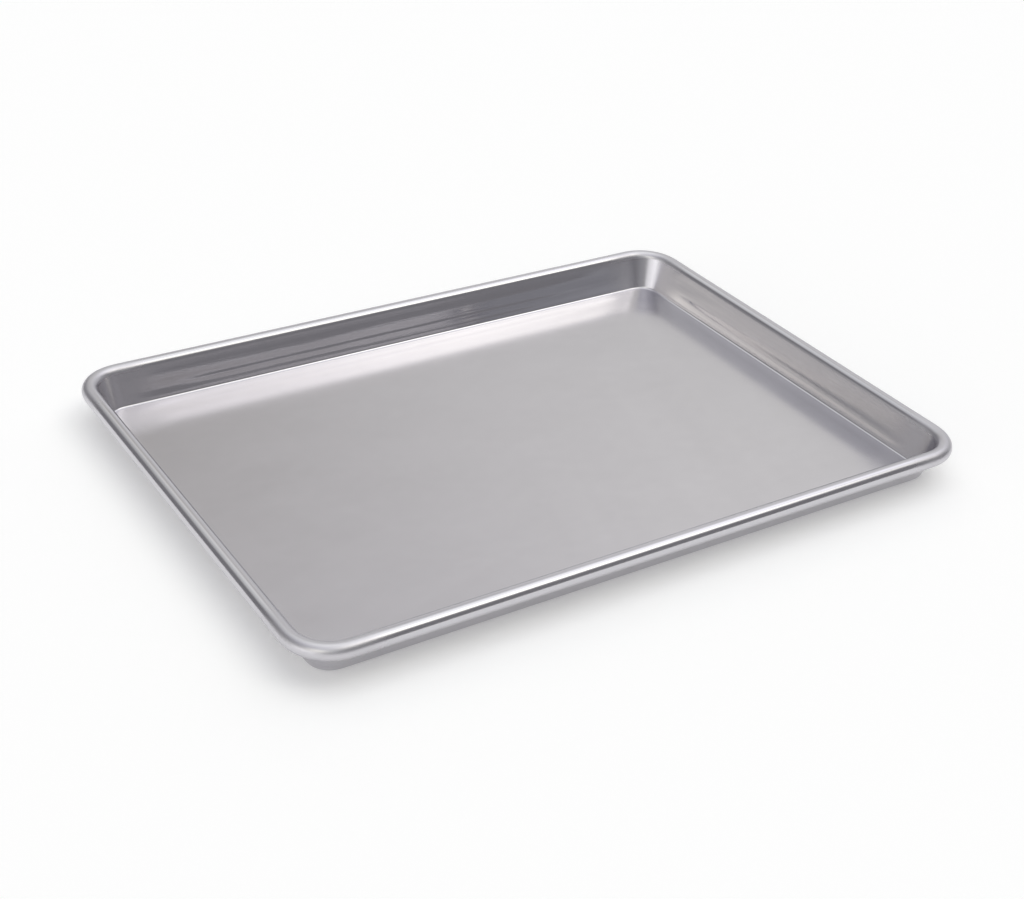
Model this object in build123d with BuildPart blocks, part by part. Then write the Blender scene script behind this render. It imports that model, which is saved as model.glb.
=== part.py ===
from build123d import *
from math import acos, cos, degrees, radians, sin
import os

# Jelly roll pan: a shallow oblong tray pressed from one sheet, with flared walls and a rim that is
# rolled round a stiffening wire. Lengths are in millimetres, +Z is up and +X is along the long side.
# The origin is the centre of the underside.

# Overall sizes
pan_length = 455.0
pan_width = 333.0
pan_height = 26.3
# Outermost edge of the bead, seen from above
corner_radius = 29.3

# Sheet
sheet_thickness = 1.0
# Inside radius of the bend between the floor and the wall
bend_radius = 1.8
# Lean of the wall from upright, in degrees
wall_flare = 16.5

# Rolled bead
bead_diameter = 10.0
# Between the cut edge of the sheet and the outside of the wall
curl_clearance = 0.3

# Stiffening wire
wire_diameter = 6.0
# Between the wire and the bottom of the bead that it lies in
wire_seat_clearance = 0.2
# Between the two ends of the wire
wire_end_clearance = 2.0

# Straight half runs from the middle of each side to the centre of its corner
half_run_x = pan_length / 2 - corner_radius
half_run_y = pan_width / 2 - corner_radius

# The rim's section is drawn in the plane through a corner's upright axis, with its first coordinate
# measured outwards from that axis and its second upwards from the underside.
bead_radius = bead_diameter / 2
bead_inner_radius = bead_radius - sheet_thickness
bead_out = corner_radius - bead_radius
bead_up = pan_height - bead_radius

lean_sin = sin(radians(wall_flare))
lean_cos = cos(radians(wall_flare))
bend_outer_radius = bend_radius + sheet_thickness
bend_up = bend_outer_radius
bend_out = bead_out - (bead_radius + bend_radius + lean_sin * (bead_up - bend_up)) / lean_cos

# Directions in degrees, counterclockwise from outwards
downwards = -90
wall_outer_normal = -wall_flare
wall_inner_normal = 180 - wall_flare
# The curl stops short of the wall by its clearance, measured from the end's outer corner
curl_stop = degrees(acos((bead_inner_radius - curl_clearance) / bead_radius))
curl_sweep = 360 - curl_stop


def rim_section(plane):
    """Section through the bend, the wall and the rolled bead."""
    with BuildSketch(plane) as section:
        with BuildLine():
            bead_centre = (bead_out, bead_up)
            bend_centre = (bend_out, bend_up)
            bend_sweep = wall_outer_normal - downwards
            inner_bend = CenterArc(bend_centre, bend_radius, downwards, bend_sweep)
            outer_bend = CenterArc(bend_centre, bend_outer_radius, downwards, bend_sweep)
            outer_curl = CenterArc(bead_centre, bead_radius, wall_inner_normal, -curl_sweep)
            inner_curl = CenterArc(bead_centre, bead_inner_radius, wall_inner_normal, -curl_sweep)
            Line(outer_bend @ 0, inner_bend @ 0)
            Line(inner_bend @ 1, outer_curl @ 0)
            Line(outer_curl @ 1, inner_curl @ 1)
            Line(inner_curl @ 0, outer_bend @ 1)
        make_face()
    return section.sketch


# Pressed sheet: floor, bend, flared walls and rolled bead
with BuildPart() as pan_sheet:
    long_side_plane = Plane.YZ.shift_origin((0, half_run_y, 0))
    short_side_plane = Plane.XZ.shift_origin((half_run_x, 0, 0))
    corner_centre = (half_run_x, half_run_y, 0)
    corner_plane = Plane.XZ.offset(-half_run_y).shift_origin(corner_centre)
    corner_axis = Axis(corner_centre, Axis.Z.direction)
    extrude(rim_section(long_side_plane), amount=half_run_x)
    extrude(rim_section(short_side_plane), amount=-half_run_y)
    revolve(rim_section(corner_plane), axis=corner_axis, revolution_arc=90)
    mirror(about=Plane.YZ)
    mirror(about=Plane.XZ)
    with BuildSketch():
        floor_length = 2 * (half_run_x + bend_out)
        floor_width = 2 * (half_run_y + bend_out)
        RectangleRounded(floor_length, floor_width, bend_out)
    extrude(amount=sheet_thickness)

pan_sheet.part.label = "pan_sheet"

# Stiffening wire: one bent length that lies in the bottom of the bead, its ends at mid back
wire_radius = wire_diameter / 2
wire_up = bead_up - (bead_inner_radius - wire_radius - wire_seat_clearance)
wire_half_length = half_run_x + bead_out
wire_half_width = half_run_y + bead_out
wire_end = wire_end_clearance / 2

with BuildPart() as rim_wire:
    with BuildLine(Plane.XY.offset(wire_up)) as wire_path:
        FilletPolyline(
            (wire_end, wire_half_width),
            (wire_half_length, wire_half_width),
            (wire_half_length, -wire_half_width),
            (-wire_half_length, -wire_half_width),
            (-wire_half_length, wire_half_width),
            (-wire_end, wire_half_width),
            radius=bead_out,
        )
    with BuildSketch(wire_path.line ^ 0):
        Circle(wire_radius)
    sweep()

rim_wire.part.label = "rim_wire"

os.makedirs("parts", exist_ok=True)
export_step(pan_sheet.part, "parts/pan_sheet.step")
export_step(rim_wire.part, "parts/rim_wire.step")
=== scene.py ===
import bpy
import math
from collections import namedtuple
from mathutils import Matrix, Vector


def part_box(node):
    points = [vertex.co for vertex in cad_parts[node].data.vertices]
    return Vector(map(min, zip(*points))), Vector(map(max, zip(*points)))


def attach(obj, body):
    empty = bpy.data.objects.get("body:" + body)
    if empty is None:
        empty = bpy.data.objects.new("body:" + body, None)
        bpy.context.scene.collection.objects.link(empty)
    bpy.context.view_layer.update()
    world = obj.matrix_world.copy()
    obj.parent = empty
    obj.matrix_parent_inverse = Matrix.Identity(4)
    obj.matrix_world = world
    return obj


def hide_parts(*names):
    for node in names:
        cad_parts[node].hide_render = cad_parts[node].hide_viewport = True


# Jelly roll pan. Metres, +Z up, +X along the long side, origin at the centre of the underside.
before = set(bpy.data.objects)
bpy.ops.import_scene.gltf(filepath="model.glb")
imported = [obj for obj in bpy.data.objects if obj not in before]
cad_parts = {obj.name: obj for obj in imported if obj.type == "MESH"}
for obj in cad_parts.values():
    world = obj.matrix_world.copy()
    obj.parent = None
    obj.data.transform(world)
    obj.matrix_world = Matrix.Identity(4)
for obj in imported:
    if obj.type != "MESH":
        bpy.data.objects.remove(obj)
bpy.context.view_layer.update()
sheet_low, sheet_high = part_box("pan_sheet")

# Sizes of the pressed sheet: the overall ones come from the frame
LENGTH = sheet_high.x - sheet_low.x
WIDTH = sheet_high.y - sheet_low.y
HEIGHT = sheet_high.z - sheet_low.z
CORNER_RADIUS = 0.0293
SHEET = 0.001
BEND_RADIUS = 0.0018
# Lean of the wall from upright
FLARE = math.radians(16.5)
BEAD_RADIUS = 0.005
CURL_CLEARANCE = 0.0003
# The rim goes over from straight to round over this length on both sides of a corner's start and end
CORNER_EASE = 0.007
# A corner's middle is tighter by this, which keeps the outline close to that of a plain arc
CORNER_TIGHTENING = 0.0007

# The drawn wall is not quite flat. Shallow bands run along each side, where it leans back more or less than
# elsewhere. A band has its distance up the wall from the bend, its width, the angle that it leans less, and
# the distances from the side's end at which it begins and is whole.
FOOT_BAND = (0.0025, 0.0012, math.radians(-3.1), (0.0, 0.025))
MIDDLE_BAND = (0.0077, 0.0008, math.radians(-3.2), (0.02, 0.07))
HEAD_BAND = (0.0168, 0.0026, math.radians(-2.0), (0.0, 0.04))
# This band is there only near the side's ends, because the second one undoes it farther in
END_BAND = (0.0040, 0.0019, math.radians(-2.6), (0.0, 0.012))
END_BAND_STOPS = (0.0040, 0.0019, math.radians(2.6), (0.030, 0.070))
SHORT_SIDE_BAND = (0.0069, 0.0009, math.radians(2.8), (0.01, 0.05))
LONG_SIDE_BANDS = (FOOT_BAND, MIDDLE_BAND, HEAD_BAND, END_BAND, END_BAND_STOPS)
SHORT_SIDE_BANDS = (FOOT_BAND, SHORT_SIDE_BAND)

# The UV map that the draw marks follow
GRAIN = "grain"

# Rings on the floor, as distances in from its edge
FLOOR_INSETS = (0.001, 0.0025, 0.005, 0.009)
# Steps along the section
BEND_STEPS = 10
WALL_STEPS = 48
CURL_STEPS = 64
HIDDEN_CURL_STEPS = 32
# Steps round half a corner, and how many finer ones each of them is summed from
HALF_CORNER_STEPS = 18
FINE_STEPS = 20
# Length of a step along a side, about
SIDE_STEP = 0.008

HALF_RUN_X = LENGTH / 2 - CORNER_RADIUS
HALF_RUN_Y = WIDTH / 2 - CORNER_RADIUS
BEAD_INNER = BEAD_RADIUS - SHEET
BEAD_OUT = CORNER_RADIUS - BEAD_RADIUS
BEAD_UP = HEIGHT - BEAD_RADIUS
BEND_OUTER = BEND_RADIUS + SHEET
BEND_TO_BEAD = (BEAD_RADIUS + BEND_RADIUS + math.sin(FLARE) * (BEAD_UP - BEND_OUTER)) / math.cos(FLARE)
BEND_OUT = BEAD_OUT - BEND_TO_BEAD
WALL_FOOT_UP = BEND_OUTER - BEND_RADIUS * math.sin(FLARE)
WALL_HEAD_UP = BEAD_UP + BEAD_RADIUS * math.sin(FLARE)
WALL_RUN = (WALL_HEAD_UP - WALL_FOOT_UP) / math.cos(FLARE)

# The sheet's two faces, and the two ways that the normals of an arc point from its centre
TRAY_FACE, OTHER_FACE = 1, -1
OUTWARDS, INWARDS = 1, -1

# A point of the sheet's section: its distance out from the corner's axis, its height, its normal, its face
# and, on a wall, its distance up from the bend
SectionPoint = namedtuple("SectionPoint", "out up normal face climbed", defaults=(None,))
# A place on the way round a corner: the distance gone past the side's end, the turn, and how far the
# section's foot is ahead of the corner's axis and out from it, as the side before the corner sees it
CornerPlace = namedtuple("CornerPlace", "gone turn ahead out")
# A place where the section stands: its foot, its direction out, the distance gone round the bead, the bands
# of the wall there and the distance from the end of the side
RingPlace = namedtuple("RingPlace", "foot angle along bands from_end")


def smooth(low, high, value):
    """0 below low, 1 above high and a smooth step between."""
    share = min(max((value - low) / (high - low), 0), 1)
    return share * share * (3 - 2 * share)


def wall_relief(climbed, bands, from_end):
    """How far the wall stands off its straight line into the tray, and the slope of that.

    A band's slope is a bell curve. What the bands add up to is taken off evenly on the way up the wall, so
    that it still meets the bead."""
    offset, slope = 0, 0
    for middle, width, lean, fade in bands:
        rise = (climbed - middle) / width
        shown = lean * smooth(*fade, from_end)
        whole = shown * width * math.sqrt(2 * math.pi)
        offset += whole * ((1 + math.erf(rise / math.sqrt(2))) / 2 - climbed / WALL_RUN)
        slope += shown * math.exp(-rise * rise / 2) - whole / WALL_RUN
    return offset, slope


def arc(centre, radius, start, end, steps, pointing, face):
    """Section points from one angle to another round a centre."""
    points = []
    for i in range(steps + 1):
        angle = start + (end - start) * i / steps
        cosine, sine = math.cos(angle), math.sin(angle)
        out, up = centre[0] + radius * cosine, centre[1] + radius * sine
        points.append(SectionPoint(out, up, (pointing * cosine, pointing * sine), face))
    return points


def wall(start, end, face):
    """The section points of a wall, between the points that it starts and ends at."""
    points = []
    for i in range(1, WALL_STEPS):
        share = i / WALL_STEPS
        out = start.out + (end.out - start.out) * share
        up = start.up + (end.up - start.up) * share
        climbed = (up - WALL_FOOT_UP) / math.cos(FLARE)
        points.append(SectionPoint(out, up, start.normal, face, climbed))
    return points


def floor_point(inset, up, normal_up, face):
    """A section point on the flat floor."""
    return SectionPoint(BEND_OUT - inset, up, (0, normal_up), face)


def sheet_section():
    """The sheet's section, from the floor's top up the wall, round the bead and down to the underside."""
    bend = (BEND_OUT, BEND_OUTER)
    bead = (BEAD_OUT, BEAD_UP)
    down = -math.pi / 2
    leaving = math.pi - FLARE
    sweep = 2 * math.pi - math.acos((BEAD_INNER - CURL_CLEARANCE) / BEAD_RADIUS)
    closed = leaving - sweep
    floor_top = [floor_point(inset, SHEET, 1, TRAY_FACE) for inset in reversed(FLOOR_INSETS)]
    inner_bend = arc(bend, BEND_RADIUS, down, -FLARE, BEND_STEPS, INWARDS, TRAY_FACE)
    outer_curl = arc(bead, BEAD_RADIUS, leaving, closed, CURL_STEPS, OUTWARDS, TRAY_FACE)
    inner_curl = arc(bead, BEAD_INNER, closed, leaving, HIDDEN_CURL_STEPS, INWARDS, OTHER_FACE)
    outer_bend = arc(bend, BEND_OUTER, -FLARE, down, BEND_STEPS, OUTWARDS, OTHER_FACE)
    underside = [floor_point(inset, 0, -1, OTHER_FACE) for inset in FLOOR_INSETS]
    inner_wall = wall(inner_bend[-1], outer_curl[0], TRAY_FACE)
    outer_wall = wall(inner_curl[-1], outer_bend[0], OTHER_FACE)
    tray_side = floor_top + inner_bend + inner_wall + outer_curl
    other_side = inner_curl + outer_wall + outer_bend + underside
    return tray_side + other_side


def corner_walk():
    """The places round a corner, whose curvature begins and ends softly, and the length of its turn."""
    radius = BEAD_OUT - CORNER_TIGHTENING
    quarter = radius * math.pi / 2
    steps = HALF_CORNER_STEPS * FINE_STEPS
    length = (quarter / 2 + CORNER_EASE) / steps
    turn, ahead, inwards = 0, 0, 0
    walked = [CornerPlace(-CORNER_EASE, 0, 0, 0)]
    for i in range(steps):
        rounded = smooth(-CORNER_EASE, CORNER_EASE, (i + 0.5) * length - CORNER_EASE)
        turn += rounded * length / radius
        ahead += (1 - rounded) * length * math.cos(turn)
        inwards += (1 - rounded) * length * math.sin(turn)
        if (i + 1) % FINE_STEPS == 0:
            walked.append(CornerPlace((i + 1) * length - CORNER_EASE, turn, ahead, -inwards))
    # The two halves meet on the corner's diagonal
    start = -inwards - ahead
    half = [place._replace(ahead=start + place.ahead) for place in walked]
    mirrored = [CornerPlace(quarter - p.gone, math.pi / 2 - p.turn, p.out, p.ahead) for p in half]
    return half + mirrored[-2::-1], quarter


def ring_places():
    """The places all round the pan, and the length of the whole way round the bead."""
    # The signs of each corner's place, and the direction out of the side before it
    corners = ((1, -1, 0, -1), (1, 1, 1, 0), (-1, 1, 0, 1), (-1, -1, -1, 0))
    walk, quarter = corner_walk()
    half_x, half_y = HALF_RUN_X + CORNER_TIGHTENING, HALF_RUN_Y + CORNER_TIGHTENING
    places = []
    passed = 0
    for sign_x, sign_y, out_x, out_y in corners:
        axis = Vector((sign_x * half_x, sign_y * half_y))
        out = Vector((out_x, out_y))
        forth = Vector((-out_y, out_x))
        first = math.atan2(out_y, out_x)
        run, before, after = 2 * half_y, LONG_SIDE_BANDS, SHORT_SIDE_BANDS
        if out_y == 0:
            run, before, after = 2 * half_x, SHORT_SIDE_BANDS, LONG_SIDE_BANDS
        for gone, turn, ahead, outwards in walk:
            foot = axis + forth * ahead + out * outwards
            bands = before if gone < quarter / 2 else after
            from_end = max(-gone, gone - quarter, 0)
            places.append(RingPlace(foot, first + turn, passed + gone, bands, from_end))
        passed += quarter
        # The next side runs against the direction out of the one before
        last = places[-1]
        straight = run + 2 * walk[0].ahead
        steps = round(straight / SIDE_STEP)
        for i in range(1, steps):
            gone = straight * i / steps
            from_end = min(gone, straight - gone) + CORNER_EASE
            along = passed + CORNER_EASE + (run - 2 * CORNER_EASE) * i / steps
            places.append(RingPlace(last.foot - out * gone, last.angle, along, after, from_end))
        passed += run
    return places, passed


def standing(point, place):
    """Where a point of the section is when it stands in a place round the pan, and its normal there."""
    out, up = point.out - CORNER_TIGHTENING, point.up
    normal = Vector(point.normal)
    if point.climbed is not None:
        offset, slope = wall_relief(point.climbed, place.bands, place.from_end)
        inward = Vector((-math.cos(FLARE), math.sin(FLARE)))
        upward = Vector((math.sin(FLARE), math.cos(FLARE)))
        out, up = Vector((out, up)) + inward * offset
        normal = (normal - upward * slope * point.face).normalized()
    cosine, sine = math.cos(place.angle), math.sin(place.angle)
    position = (place.foot.x + out * cosine, place.foot.y + out * sine, up)
    return position, (normal.x * cosine, normal.x * sine, normal.y)


def skin_faces(rows, count):
    """Quads between rows of count points each, and a flat face inside the first row and the last."""
    faces = []
    for row in range(rows - 1):
        low, high = row * count, (row + 1) * count
        for i in range(count):
            following = (i + 1) % count
            faces.append((low + i, high + i, high + following, low + following))
    faces.append(tuple(range(count)))
    last = (rows - 1) * count
    faces.append(tuple(last + i for i in reversed(range(count))))
    return faces


def lay_grain(mesh, section, places, round_length):
    """A UV map in metres: U runs round the pan, and V along the section, up from the edge of the floor."""
    across = [0]
    for first, second in zip(section, section[1:]):
        across.append(across[-1] + math.hypot(second.out - first.out, second.up - first.up))
    count = len(places)
    grain = mesh.uv_layers.new(name=GRAIN)
    for polygon in mesh.polygons:
        columns = [mesh.loops[i].vertex_index % count for i in polygon.loop_indices]
        # A quad that closes the ring ends at the first place, a whole round on
        closing = len(columns) < count and max(columns) - min(columns) > 1
        for i, column in zip(polygon.loop_indices, columns):
            gone = places[column].along + (round_length if closing and column == 0 else 0)
            row = mesh.loops[i].vertex_index // count
            grain.data[i].uv = (gone, min(across[row], across[-1] - across[row]) - FLOOR_INSETS[-1])


def build_sheet():
    """One skin swept round the pan, closed by the floor's two flat faces."""
    section = sheet_section()
    places, round_length = ring_places()
    stood = [standing(point, place) for point in section for place in places]
    mesh = bpy.data.meshes.new("pressed_sheet")
    mesh.from_pydata([position for position, _ in stood], [], skin_faces(len(section), len(places)))
    mesh.polygons.foreach_set("use_smooth", [True] * len(mesh.polygons))
    mesh.update()
    mesh.normals_split_custom_set_from_vertices([normal for _, normal in stood])
    lay_grain(mesh, section, places, round_length)
    piece = bpy.data.objects.new("pressed_sheet", mesh)
    bpy.context.scene.collection.objects.link(piece)
    return piece


pressed_sheet = build_sheet()
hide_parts("pan_sheet")
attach(pressed_sheet, "root")


# Finishes of the metals
ALUMINIUM = (0.611, 0.600, 0.630, 1)
ZINC = (0.60, 0.61, 0.63, 1)
FLOOR_ROUGHNESS = 0.18
WALL_ROUGHNESS = 0.10
BEAD_ROUGHNESS = 0.19
WIRE_ROUGHNESS = 0.38
# The metal stretches most in the corners, which dulls it there
CORNER_DULLING = 0.24
# The most that the roughness comes to, on the floor and the walls and on the bead
ROUGHEST_WALL = 0.27
ROUGHEST_BEAD = 0.38
# Where one finish goes over into the next, as distances up the section from the edge of the floor
WALL_BEGINS = (0.0, 0.004)
BEAD_BEGINS = (0.019, 0.024)
BEAD_JOIN = (0.0232, 0.0240)
# Where a corner's finish begins and is whole, as distances past the corner's axis along X and along Y
CORNER_BEGINS = (-0.030, 0.004)

# The marks in the metals. Each has the lengths of its features and the detail of its noise. The lengths are
# along X, Y and Z or, for the two draw marks, round the pan and up the section.
ROLLING_GRAIN = ((0.03, 0.0006, 0.03), 3.0)
CLOUDS = ((0.060, 0.035, 0.060), 4.0)
STAINS = ((0.011, 0.008, 0.011), 3.0)
DRAW_STREAKS = ((0.11, 0.0022, 1.0), 2.0)
DRAW_LINES = ((0.03, 0.0004, 1.0), 2.0)
ORANGE_PEEL = ((0.0012, 0.0012, 0.0012), 2.0)
ZINC_PITTING = ((0.0004, 0.0004, 0.0004), 4.0)
ZINC_CLOUDS = ((0.012, 0.012, 0.012), 3.0)
CRYSTAL_SIZE = 0.0025
# Scratches have their turn in degrees, their lengths, and the height of the noise at which they begin
LONG_SCRATCHES = (27, (0.030, 0.0006, 1.0), 0.22)
SHORT_SCRATCHES = (-64, (0.022, 0.0005, 1.0), 0.24)
SCRATCH_DETAIL = 1.0
SCRATCH_EDGE = 0.06
# Pits have their spacing, their radius, and the share of the places that hold one
PITS = (0.028, 0.0005, 0.3)
# The share of a pit's radius that is its full depth
PIT_CORE = 0.4

# What each mark adds to the colour, to the roughness and, in metres, to the relief
SHADES = {"clouds": 0.08, "stains": 0.04, "streaks": 0.05, "pits": -0.25}
FLOOR_DULLING = {"clouds": 0.07, "grain": 0.04, "scratches": 0.02}
WALL_DULLING = {"streaks": 0.08, "lines": 0.04}
FLOOR_RELIEF = {"grain": 2.5e-6, "scratches": -1.0e-6, "pits": -5e-6, "stains": 4e-6}
WALL_RELIEF = {"streaks": 32e-6, "lines": 1.6e-6, "pits": -5e-6}
BEAD_RELIEF = {"streaks": 8e-6, "lines": 1.6e-6}
PEEL_RELIEF = 2e-6
WIRE_SHADE = 0.9
WIRE_SHADES = {"crystals": 0.12, "clouds": 0.15, "pitting": 0.05}
WIRE_DULLING = {"crystals": 0.10, "pitting": 0.08}
WIRE_RELIEF = {"pitting": 6e-6, "clouds": 10e-6}


def add_node(tree, kind, inputs=None, **settings):
    """A shader node. Each input is a value or the output that it is linked to."""
    made = tree.nodes.new("ShaderNode" + kind)
    for name, value in settings.items():
        setattr(made, name, value)
    for name, value in (inputs or {}).items():
        if isinstance(value, bpy.types.NodeSocket):
            tree.links.new(value, made.inputs[name])
        else:
            made.inputs[name].default_value = value
    return made


def maths(tree, operation, *values):
    """The output of a node that does one operation on the values."""
    return add_node(tree, "Math", dict(enumerate(values)), operation=operation).outputs[0]


def mix(tree, share, low, high):
    """low where share is 0 and high where it is 1."""
    inputs = {"Value": share, "To Min": low, "To Max": high}
    return add_node(tree, "MapRange", inputs).outputs["Result"]


def step(tree, value, low, high):
    """A smooth step from 0 at low to 1 at high."""
    inputs = {"Value": value, "From Min": low, "From Max": high}
    return add_node(tree, "MapRange", inputs, interpolation_type="SMOOTHSTEP").outputs["Result"]


def total(tree, marks, sizes, base=0.0):
    """base and what each mark adds to it: sizes has the number that the mark is multiplied by."""
    for name, size in sizes.items():
        base = maths(tree, "MULTIPLY_ADD", marks[name], size, base)
    return base


def tinted(tree, colour, shade):
    """colour made lighter or darker by a factor."""
    inputs = {0: colour[:3], "Scale": shade}
    return add_node(tree, "VectorMath", inputs, operation="SCALE").outputs["Vector"]


def stretched_noise(tree, coordinates, lengths, detail):
    """Noise from -0.5 to 0.5 whose features are as long as lengths along each axis, in metres."""
    scale = [1 / length for length in lengths]
    places = add_node(tree, "Mapping", {"Vector": coordinates, "Scale": scale}).outputs["Vector"]
    noise = add_node(tree, "TexNoise", {"Vector": places, "Scale": 1.0, "Detail": detail}).outputs["Fac"]
    return maths(tree, "SUBTRACT", noise, 0.5)


def hairlines(tree, coordinates, turn, lengths, rarity):
    """Sparse thin scratches that run at an angle across the object's X, each 1 along its middle."""
    turned = add_node(tree, "Mapping", {"Vector": coordinates, "Rotation": (0, 0, math.radians(turn))})
    streak = stretched_noise(tree, turned.outputs["Vector"], lengths, SCRATCH_DETAIL)
    return step(tree, streak, rarity, rarity + SCRATCH_EDGE)


def specks(tree, coordinates, spacing, radius, share):
    """Small round spots, 1 at their middle. share is how many of the places hold one."""
    cells = add_node(tree, "TexVoronoi", {"Vector": coordinates, "Scale": 1 / spacing})
    spot = step(tree, cells.outputs["Distance"], radius / spacing, PIT_CORE * radius / spacing)
    chosen = add_node(tree, "SeparateColor", {0: cells.outputs["Color"]}).outputs[0]
    return maths(tree, "MULTIPLY", spot, maths(tree, "LESS_THAN", chosen, share))


def corner_share(tree, place):
    """1 in the four corners, and 0 along the sides and on most of the floor."""
    parts = add_node(tree, "SeparateXYZ", {0: place}).outputs
    share = 1.0
    for part, half_run in ((parts["X"], HALF_RUN_X), (parts["Y"], HALF_RUN_Y)):
        past = maths(tree, "SUBTRACT", maths(tree, "ABSOLUTE", part), half_run)
        share = maths(tree, "MULTIPLY", share, step(tree, past, *CORNER_BEGINS))
    return share


def new_material(name):
    """A material, its nodes and its surface shader."""
    material = bpy.data.materials.new(name)
    material.use_nodes = True
    return material, material.node_tree, material.node_tree.nodes["Principled BSDF"]


def finish_surface(tree, surface, colour, shade, roughness, height):
    """Links a metal's colour, roughness and relief, the relief in metres."""
    surface.inputs["Metallic"].default_value = 1
    tree.links.new(tinted(tree, colour, shade), surface.inputs["Base Color"])
    tree.links.new(roughness, surface.inputs["Roughness"])
    bump = add_node(tree, "Bump", {"Height": height, "Distance": 1.0, "Strength": 1.0})
    tree.links.new(bump.outputs["Normal"], surface.inputs["Normal"])


def pressed_aluminium():
    """Satin sheet: rolled along X on the floor, and drawn round the pan on the walls and the bead."""
    material, tree, surface = new_material("pressed_aluminium")
    place = add_node(tree, "TexCoord").outputs["Object"]
    laid = add_node(tree, "UVMap", uv_map=GRAIN).outputs["UV"]
    across = add_node(tree, "SeparateXYZ", {0: laid}).outputs["Y"]
    drawn = step(tree, across, *WALL_BEGINS)
    beaded = step(tree, across, *BEAD_BEGINS)
    corner = corner_share(tree, place)
    long_scratches = hairlines(tree, place, *LONG_SCRATCHES)
    short_scratches = hairlines(tree, place, *SHORT_SCRATCHES)
    marks = {
        "grain": stretched_noise(tree, place, *ROLLING_GRAIN),
        "clouds": stretched_noise(tree, place, *CLOUDS),
        "stains": stretched_noise(tree, place, *STAINS),
        "streaks": stretched_noise(tree, laid, *DRAW_STREAKS),
        "lines": stretched_noise(tree, laid, *DRAW_LINES),
        "scratches": maths(tree, "ADD", long_scratches, short_scratches),
        "pits": specks(tree, place, *PITS),
    }
    shade = total(tree, marks, SHADES, 1.0)

    floor_roughness = total(tree, marks, FLOOR_DULLING, FLOOR_ROUGHNESS)
    drawn_roughness = mix(tree, beaded, WALL_ROUGHNESS, BEAD_ROUGHNESS)
    wall_roughness = total(tree, marks, WALL_DULLING, drawn_roughness)
    roughness = mix(tree, drawn, floor_roughness, wall_roughness)
    roughness = maths(tree, "MULTIPLY_ADD", corner, CORNER_DULLING, roughness)
    roughest = mix(tree, step(tree, across, *BEAD_JOIN), ROUGHEST_WALL, ROUGHEST_BEAD)
    roughness = maths(tree, "MINIMUM", roughness, roughest)

    floor_height = total(tree, marks, FLOOR_RELIEF)
    wall_height = total(tree, marks, WALL_RELIEF)
    bead_height = total(tree, marks, BEAD_RELIEF)
    height = mix(tree, drawn, floor_height, mix(tree, beaded, wall_height, bead_height))
    peel = maths(tree, "MULTIPLY", stretched_noise(tree, place, *ORANGE_PEEL), corner)
    height = maths(tree, "MULTIPLY_ADD", peel, PEEL_RELIEF, height)
    finish_surface(tree, surface, ALUMINIUM, shade, roughness, height)
    return material


def zinc_wire():
    """Dull zinc on drawn steel: faint crystals and fine pitting."""
    material, tree, surface = new_material("zinc_wire")
    place = add_node(tree, "TexCoord").outputs["Object"]
    crystals = add_node(tree, "TexVoronoi", {"Vector": place, "Scale": 1 / CRYSTAL_SIZE}).outputs["Color"]
    marks = {
        "crystals": add_node(tree, "SeparateColor", {0: crystals}).outputs[0],
        "pitting": stretched_noise(tree, place, *ZINC_PITTING),
        "clouds": stretched_noise(tree, place, *ZINC_CLOUDS),
    }
    shade = total(tree, marks, WIRE_SHADES, WIRE_SHADE)
    roughness = total(tree, marks, WIRE_DULLING, WIRE_ROUGHNESS)
    height = total(tree, marks, WIRE_RELIEF)
    finish_surface(tree, surface, ZINC, shade, roughness, height)
    return material


# The photograph's view, fitted to the pan's rim, wall and floor: the camera's angle round from the front,
# its angle up, its roll, the point that it looks at and its distance from that
VIEW_AZIMUTH = math.radians(-33.818)
VIEW_ELEVATION = math.radians(30.8201)
VIEW_ROLL = math.radians(3.4482)
VIEW_TARGET = Vector((-0.0168626, -0.0232564, 0.01315))
VIEW_DISTANCE = 1.0484923
# Millimetres
LENS = 60.50586
SENSOR_WIDTH = 36

# The white paper that the pan stands on
PAPER = (0.94, 0.94, 0.94, 1)
PAPER_ROUGHNESS = 1
STAGE_HALF = 150
# The light that the paper adds for whoever sees it, which makes it a little whiter than it lights the pan
PAPER_LIFT = 0.18
PAPER_LIFT_COLOUR = (1, 1, 1, 1)


def place_camera():
    """A camera with the photograph's view."""
    flat = math.cos(VIEW_ELEVATION)
    cosine, sine = math.cos(VIEW_AZIMUTH), math.sin(VIEW_AZIMUTH)
    back = Vector((sine * flat, -cosine * flat, math.sin(VIEW_ELEVATION)))
    right = Vector((cosine, sine, 0))
    up = back.cross(right)
    turned_right = right * math.cos(VIEW_ROLL) + up * math.sin(VIEW_ROLL)
    turned_up = up * math.cos(VIEW_ROLL) - right * math.sin(VIEW_ROLL)
    turn = Matrix((turned_right, turned_up, back)).transposed().to_quaternion()
    camera = bpy.data.objects.new("camera", bpy.data.cameras.new("camera"))
    bpy.context.scene.collection.objects.link(camera)
    camera.matrix_world = Matrix.LocRotScale(VIEW_TARGET + back * VIEW_DISTANCE, turn, None)
    camera.data.lens = LENS
    camera.data.sensor_width = SENSOR_WIDTH
    camera.data.clip_end = 2 * STAGE_HALF
    bpy.context.scene.camera = camera


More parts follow.
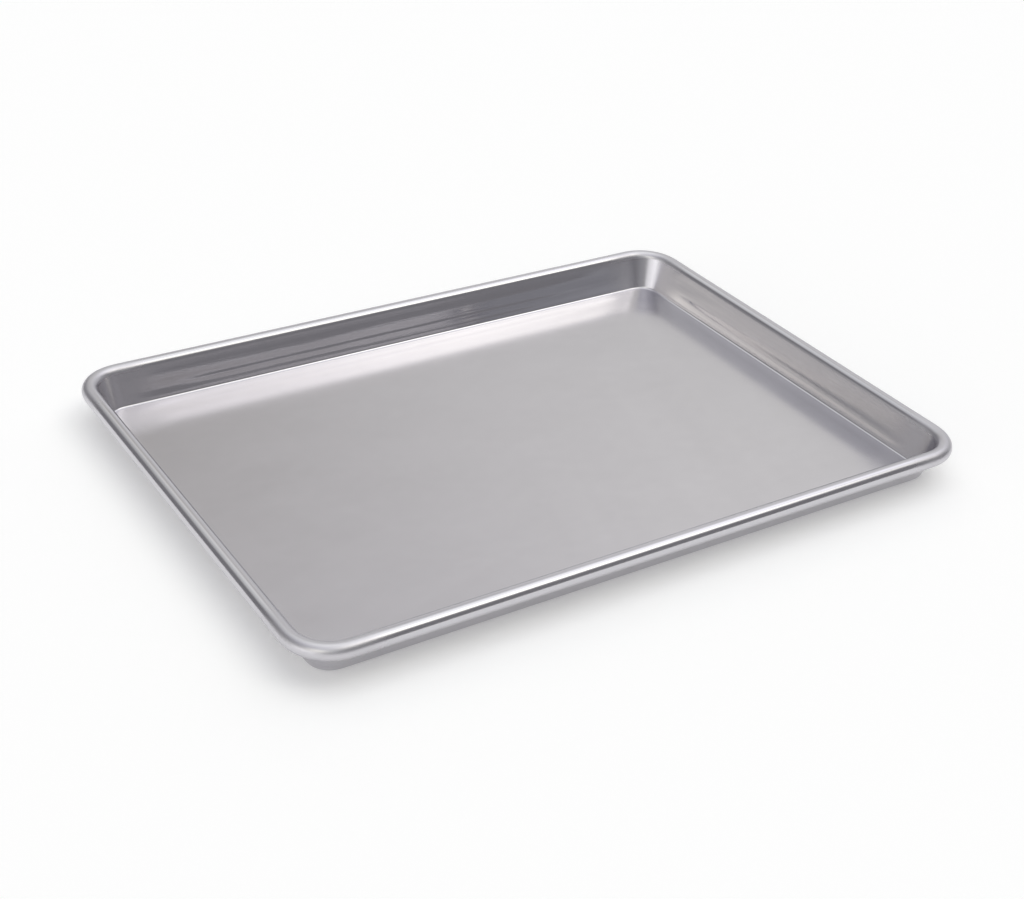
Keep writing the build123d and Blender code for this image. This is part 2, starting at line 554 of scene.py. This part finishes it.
def build_stage():
    """The paper, flat at the height of the pan's underside."""
    mesh = bpy.data.meshes.new("stage_floor")
    signs = ((-1, -1), (1, -1), (1, 1), (-1, 1))
    corners = [(sign_x * STAGE_HALF, sign_y * STAGE_HALF, 0) for sign_x, sign_y in signs]
    mesh.from_pydata(corners, [], [(0, 1, 2, 3)])
    material, tree, surface = new_material("stage_paper")
    surface.inputs["Base Color"].default_value = PAPER
    surface.inputs["Roughness"].default_value = PAPER_ROUGHNESS
    surface.inputs["Specular IOR Level"].default_value = 0
    ray = add_node(tree, "LightPath").outputs
    seen = maths(tree, "ADD", ray["Is Camera Ray"], ray["Is Glossy Ray"])
    seen = maths(tree, "ADD", seen, ray["Is Transmission Ray"])
    seen = maths(tree, "MINIMUM", seen, 1.0)
    surface.inputs["Emission Color"].default_value = PAPER_LIFT_COLOUR
    tree.links.new(maths(tree, "MULTIPLY", seen, PAPER_LIFT), surface.inputs["Emission Strength"])
    mesh.materials.append(material)
    floor = bpy.data.objects.new("stage_floor", mesh)
    bpy.context.scene.collection.objects.link(floor)


# The studio: a dim grey room and soft boxes in it, each far enough off to light the whole floor alike.
# A box has its azimuth and elevation, its roll, its half width and half height as tangents, the softness of
# its edge as a tangent too, and the light that it adds to the room's.
ROOM_LIGHT = (0.246, 0.242, 0.254)
SOFT_BOXES = {
    "key": (-9.9, 55.2, -7.3, 0.47, 0.18, 0.22, (1.060, 1.051, 1.068)),
    "key_low": (-34.0, 50.0, 0.0, 0.2, 0.1, 0.1, (0.913, 0.912, 0.763)),
    "key_left": (-60.0, 59.0, 0.0, 0.36, 0.2, 0.15, (0.902, 0.890, 0.760)),
    "left": (-143.0, 32.0, 0.0, 0.25, 0.2, 0.2, (1.404, 1.353, 1.121)),
    "left_low": (170.0, 12.0, 0.0, 0.5, 0.2, 0.25, (0.625, 0.629, 0.596)),
    "back": (38.3, 15.5, -24.1, 0.98, 0.42, 0.17, (0.402, 0.409, 0.410)),
    "back_low": (65.0, 10.0, 0.0, 0.25, 0.1, 0.1, (0.210, 0.210, 0.210)),
    "back_middle": (62.0, 35.0, 0.0, 0.41, 0.2, 0.2, (0.231, 0.218, 0.170)),
    "top": (124.8, 83.9, 0.7, 1.41, 0.72, 0.41, (0.274, 0.280, 0.315)),
    "overhead": (0.0, 90.0, 0.0, 0.45, 0.45, 0.2, (0.45, 0.45, 0.45)),
    "top_back": (60.0, 70.0, 0.0, 0.4, 0.3, 0.3, (0.455, 0.476, 0.403)),
    "behind_camera": (-124.0, 35.0, 0.0, 0.5, 0.4, 0.3, (0.308, 0.330, 0.331)),
    "right_back": (100.0, 41.0, 0.0, 0.31, 0.19, 0.15, (0.490, 0.505, 0.480)),
    "left_corner": (-162.0, 4.0, 0.0, 0.42, 0.13, 0.2, (1.7, 1.7, 1.7)),
}
# The least depth of a direction that a box's tangents are worked out with
LEAST_DEPTH = 0.05


def dot(tree, vector, direction):
    """How far vector reaches along direction."""
    inputs = {0: vector, 1: direction}
    return add_node(tree, "VectorMath", inputs, operation="DOT_PRODUCT").outputs["Value"]


def soft_box(tree, view, azimuth, elevation, roll, half_width, half_height, softness):
    """How much of the box shows in the direction view."""
    azimuth, elevation, roll = (math.radians(v) for v in (azimuth, elevation, roll))
    flat = math.cos(elevation)
    middle = Vector((math.cos(azimuth) * flat, math.sin(azimuth) * flat, math.sin(elevation)))
    across = Vector((-math.sin(azimuth), math.cos(azimuth), 0))
    upwards = middle.cross(across)
    sideways = across * math.cos(roll) + upwards * math.sin(roll)
    lengthways = upwards * math.cos(roll) - across * math.sin(roll)
    depth = maths(tree, "MAXIMUM", dot(tree, view, middle), LEAST_DEPTH)
    shown = 1.0
    for axis, half in ((sideways, half_width), (lengthways, half_height)):
        off = maths(tree, "DIVIDE", maths(tree, "ABSOLUTE", dot(tree, view, axis)), depth)
        shown = maths(tree, "MULTIPLY", shown, step(tree, off, half + softness, half - softness))
    return shown


def light_studio():
    """The world: the room's light, and what each soft box adds to it."""
    world = bpy.data.worlds.new("studio")
    world.use_nodes = True
    tree = world.node_tree
    view = add_node(tree, "TexCoord").outputs["Generated"]
    light = ROOM_LIGHT
    for *box, colour in SOFT_BOXES.values():
        added = tinted(tree, colour, soft_box(tree, view, *box))
        light = add_node(tree, "VectorMath", {0: light, 1: added}, operation="ADD").outputs["Vector"]
    tree.links.new(light, tree.nodes["Background"].inputs["Color"])
    tree.nodes["Background"].inputs["Strength"].default_value = 1
    bpy.context.scene.world = world


pressed_sheet.data.materials.append(pressed_aluminium())
rim_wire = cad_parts["rim_wire"]
rim_wire.data.materials.clear()
rim_wire.data.materials.append(zinc_wire())
place_camera()
build_stage()
light_studio()
bpy.context.scene.view_settings.view_transform = "Standard"
